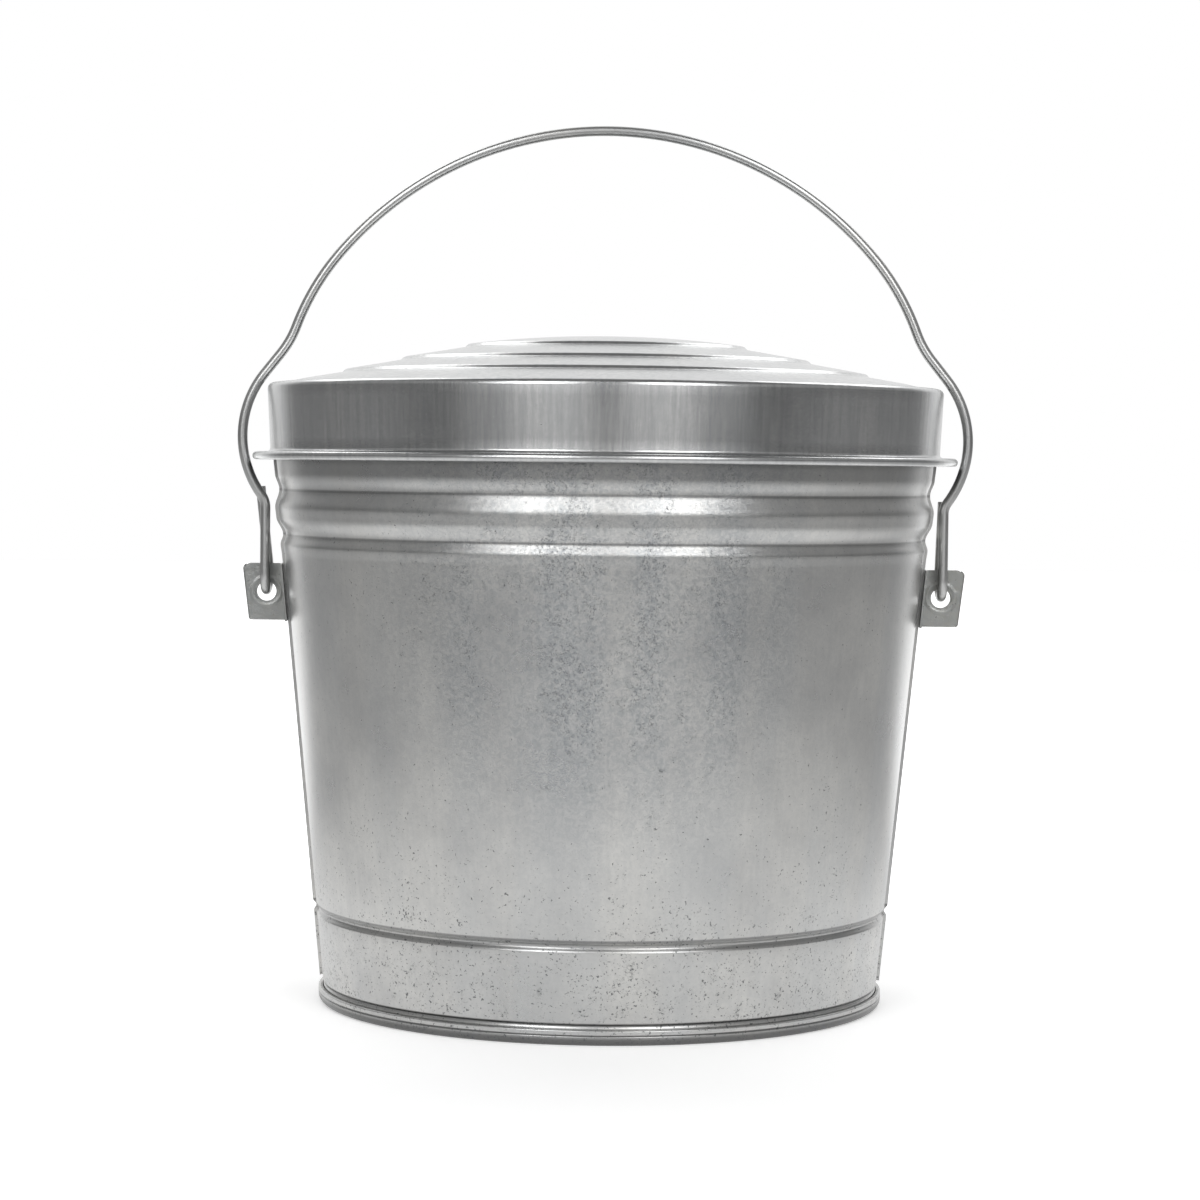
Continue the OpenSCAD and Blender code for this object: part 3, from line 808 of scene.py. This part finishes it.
def bail_half(bm, tail):
    """Wire from the crown's middle down to the tail's end on the right side."""
    side_run, down_run = bend_travel()
    crown_r = (HOLE[0] - side_run) / sin(radians(CROWN_HALF))
    crown_z = PIVOT_Z + down_run + crown_r * (1 - cos(radians(CROWN_HALF)))

    # The section has a flat side up, and is thinner by the slack, to stay inside the solid
    start = Matrix.Translation((0, -HOOK_R * MM, crown_z * MM)) @ Matrix.Rotation(pi / 2, 4, "Y")
    start = start @ Matrix.Rotation(pi / WIRE_SIDES, 4, "Z")
    made = bmesh.ops.create_circle(
        bm, segments=WIRE_SIDES, radius=(WIRE_R - WIRE_SLACK) * MM, matrix=start
    )
    ring = list({e for v in made["verts"] for e in v.link_edges})

    x, z, heading = 0.0, crown_z, 0.0
    for r, angle, steps in ((crown_r, CROWN_HALF, CROWN_STEPS),) + BENDS:
        if angle:
            turn = signed_turn(r, angle)
            cx, cz = x - r * sin(heading), z - r * cos(heading)
            ring = bend_wire(bm, ring, (cx, -HOOK_R, cz), (0, 1, 0), turn, steps)
            heading += turn
            x, z = cx + r * sin(heading), cz + r * cos(heading)
        else:
            run_x, run_z = r * cos(heading), -r * sin(heading)
            ring = push_wire(bm, ring, Vector((run_x, 0, run_z)), steps)
            x, z = x + run_x, z + run_z

    # Hook through the ear's hole, and the tail leaning out behind it
    ring = bend_wire(bm, ring, (HOLE[0], 0, PIVOT_Z), (1, 0, 0), pi, 40)
    ring = bend_wire(bm, ring, (HOLE[0] + TAIL_BEND_R, HOOK_R, PIVOT_Z), (0, 1, 0), tail, 2)
    ring = push_wire(bm, ring, Vector((sin(tail), 0, cos(tail))) * (TAIL_H - TAIL_EASE), 4)
    bmesh.ops.contextual_create(bm, geom=ring)
    bmesh.ops.bevel(
        bm, geom=ring, offset=TAIL_EASE * MM, segments=2, affect="EDGES", profile=0.5, material=-1
    )


def bail_mesh():
    """Both sides of the bail, the left one mirrored, joined in the crown's middle."""
    bm = bmesh.new()
    bail_half(bm, LEFT_TAIL)
    bmesh.ops.scale(bm, vec=(-1, 1, 1), verts=bm.verts)
    bmesh.ops.reverse_faces(bm, faces=bm.faces)
    bail_half(bm, RIGHT_TAIL)
    return bm


made_piece(bail_mesh(), "wire_bail", "bail", WIRE_ZINC,
           ["bail", "bail_left", "bail_right"])


# Studio, with lengths in metres and lamps in watts

FLOOR_R = 7
POOL_NEAR, POOL_FAR = 0.36, 0.95
PAPER_WHITE = 0.86
SIDE_FLOOR = 0.66
FRONT_FLOOR = 0.1
FRONT_FROM, FRONT_TO = 0.85, 1.4
PAPER_GLOW = 0.4
GLOW_FROM, GLOW_TO = 0.3, 0.55
MIRRORED_GLOW = 0.32
ROOM = 0.21
ROOM_WALLS = 0.13

CAMERA_AT = (-0.00035, -1.6298, 0.26843)
CAMERA_LENS = 97.44
CAMERA_SENSOR = 36
CAMERA_PAN = radians(0.05)
CAMERA_TILT = radians(90 - 2.388)
CAMERA_ROLL = radians(0.624)

# Lamps of each side: name, place on the right, size, power and what they face
LAMPS = (
    ("front_box", (0.9, -2.0, 1.8), (0.95, 2.15), 22, (0, 0, 1.8)),
    ("low_card", (0.56, -2.0, 0.38), (0.9, 0.7), 1.4, (0, 0, 0.38)),
    ("side_card", (1.45, -2.0, 0.38), (0.85, 0.7), 0.6, (0, 0, 0.38)),
    ("back_box", (1.1, 1.3, 2.0), (1.2, 1.2), 9, (0, 0, 0.2)),
)


def own_rays(tree):
    """Rays from the camera, and rays that metal mirrors or glass lets through."""
    path = tree.nodes.new("ShaderNodeLightPath")
    mirrored = math_node(tree, "ADD", path.outputs["Is Glossy Ray"], path.outputs["Is Transmission Ray"])
    return path.outputs["Is Camera Ray"], math_node(tree, "MINIMUM", mirrored, 1.0)


def behind_mask(tree, vector):
    """1 in the wedge behind the pail and 0 round its sides and front, with the height."""
    x, y, z = axes_of(tree, vector)
    flat = math_node(tree, "MULTIPLY_ADD", x, x, math_node(tree, "MULTIPLY", y, y))
    flat = math_node(tree, "MAXIMUM", math_node(tree, "SQRT", flat), 0.001)
    return ramp(tree, math_node(tree, "DIVIDE", y, flat), 0.66, 0.86), z


def floor_paint():
    """Floor pale near and behind the pail, with painted falloff of light to grey round it and to dark
    far in front, glowing by itself so that it shows white.
    """
    paint = bpy.data.materials.new("pale_floor")
    paint.use_nodes = True
    tree = paint.node_tree
    shader = tree.nodes["Principled BSDF"]
    shader.inputs["Roughness"].default_value = 0.9
    shader.inputs["Emission Color"].default_value = (1, 1, 1, 1)
    coords = object_coords(tree)
    y = axes_of(tree, coords)[1]
    reach = vector_node(tree, "LENGTH", vector_node(tree, "MULTIPLY", coords, (1.3, 1, 1)))

    # Painted falloff of light: pale near and behind the pail, greyer round it
    lit_pool = fade(tree, reach, POOL_NEAR, POOL_FAR)
    lit_pool = math_node(tree, "MAXIMUM", lit_pool, behind_mask(tree, coords)[0])
    tone = blend_colour(tree, lit_pool, (SIDE_FLOOR,) * 3, (PAPER_WHITE,) * 3)
    # Painted shade of the dim room: the floor dark far in front
    ahead = ramp(tree, math_node(tree, "MULTIPLY", y, -1.0), FRONT_FROM, FRONT_TO)
    tone = blend_colour(tree, ahead, tone, (FRONT_FLOOR,) * 3)
    feed(tree, shader.inputs["Base Color"], tone)

    # The camera sees a glow that grows away from the pail, and metal one that grows behind it
    seen, mirrored = own_rays(tree)
    far = ramp(tree, y, 0.2, 1.2)
    far = math_node(tree, "MULTIPLY_ADD", far, 1 - MIRRORED_GLOW, MIRRORED_GLOW)
    open_floor = ramp(tree, reach, GLOW_FROM, GLOW_TO)
    open_floor = math_node(tree, "MULTIPLY_ADD", open_floor, 1 - PAPER_GLOW, PAPER_GLOW)
    glow = math_node(tree, "MULTIPLY", math_node(tree, "MULTIPLY", mirrored, lit_pool), far)
    glow = math_node(tree, "MULTIPLY_ADD", seen, open_floor, glow)
    feed(tree, shader.inputs["Emission Strength"], glow)
    return paint


def studio_floor():
    bm = bmesh.new()
    bmesh.ops.create_circle(bm, cap_ends=True, segments=96, radius=FLOOR_R)
    mesh = bpy.data.meshes.new("studio_floor")
    bm.to_mesh(mesh)
    bm.free()
    floor = bpy.data.objects.new("studio_floor", mesh)
    bpy.context.collection.objects.link(floor)
    mesh.materials.append(floor_paint())


def soft_light(name, place, size, power, aim):
    light = bpy.data.lights.new(name, "AREA")
    light.shape = "RECTANGLE"
    light.size, light.size_y = size
    light.energy = power
    lamp = bpy.data.objects.new(name, light)
    bpy.context.collection.objects.link(lamp)
    lamp.location = place
    lamp.rotation_euler = (Vector(place) - Vector(aim)).to_track_quat("Z", "Y").to_euler()


def studio_world():
    """White background behind the pail, and a dim room with paler walls round it."""
    world = bpy.data.worlds.new("studio")
    bpy.context.scene.world = world
    world.use_nodes = True
    tree = world.node_tree
    behind, z = behind_mask(tree, tree.nodes.new("ShaderNodeTexCoord").outputs["Generated"])
    behind = math_node(tree, "MULTIPLY", behind, fade(tree, z, 0.8, 0.98))
    walls = math_node(tree, "MULTIPLY", fade(tree, z, 0.65, 0.8), ramp(tree, z, 0.1, 0.3))
    room = math_node(tree, "MULTIPLY_ADD", walls, ROOM_WALLS, ROOM)
    strength = math_node(tree, "MULTIPLY_ADD", behind, math_node(tree, "SUBTRACT", 1.0, room), room)
    seen = tree.nodes.new("ShaderNodeLightPath").outputs["Is Camera Ray"]
    back = tree.nodes["Background"]
    back.inputs["Color"].default_value = (1, 1, 1, 1)
    feed(tree, back.inputs["Strength"], math_node(tree, "MAXIMUM", strength, seen))


def camera():
    """The photograph's view, fitted to the pail's outline."""
    data = bpy.data.cameras.new("view")
    data.sensor_width = CAMERA_SENSOR
    data.lens = CAMERA_LENS
    cam = bpy.data.objects.new("view", data)
    bpy.context.collection.objects.link(cam)
    cam.location = CAMERA_AT
    aim = Matrix.Rotation(CAMERA_PAN, 4, "Z") @ Matrix.Rotation(CAMERA_TILT, 4, "X")
    cam.rotation_euler = (aim @ Matrix.Rotation(CAMERA_ROLL, 4, "Z")).to_euler()
    bpy.context.scene.camera = cam


studio_floor()
studio_world()
for side, mirror in (("left", -1), ("right", 1)):
    for name, (x, y, z), size, power, aim in LAMPS:
        soft_light(side + "_" + name, (mirror * x, y, z), size, power, aim)
camera()
bpy.context.scene.view_settings.view_transform = "Standard"
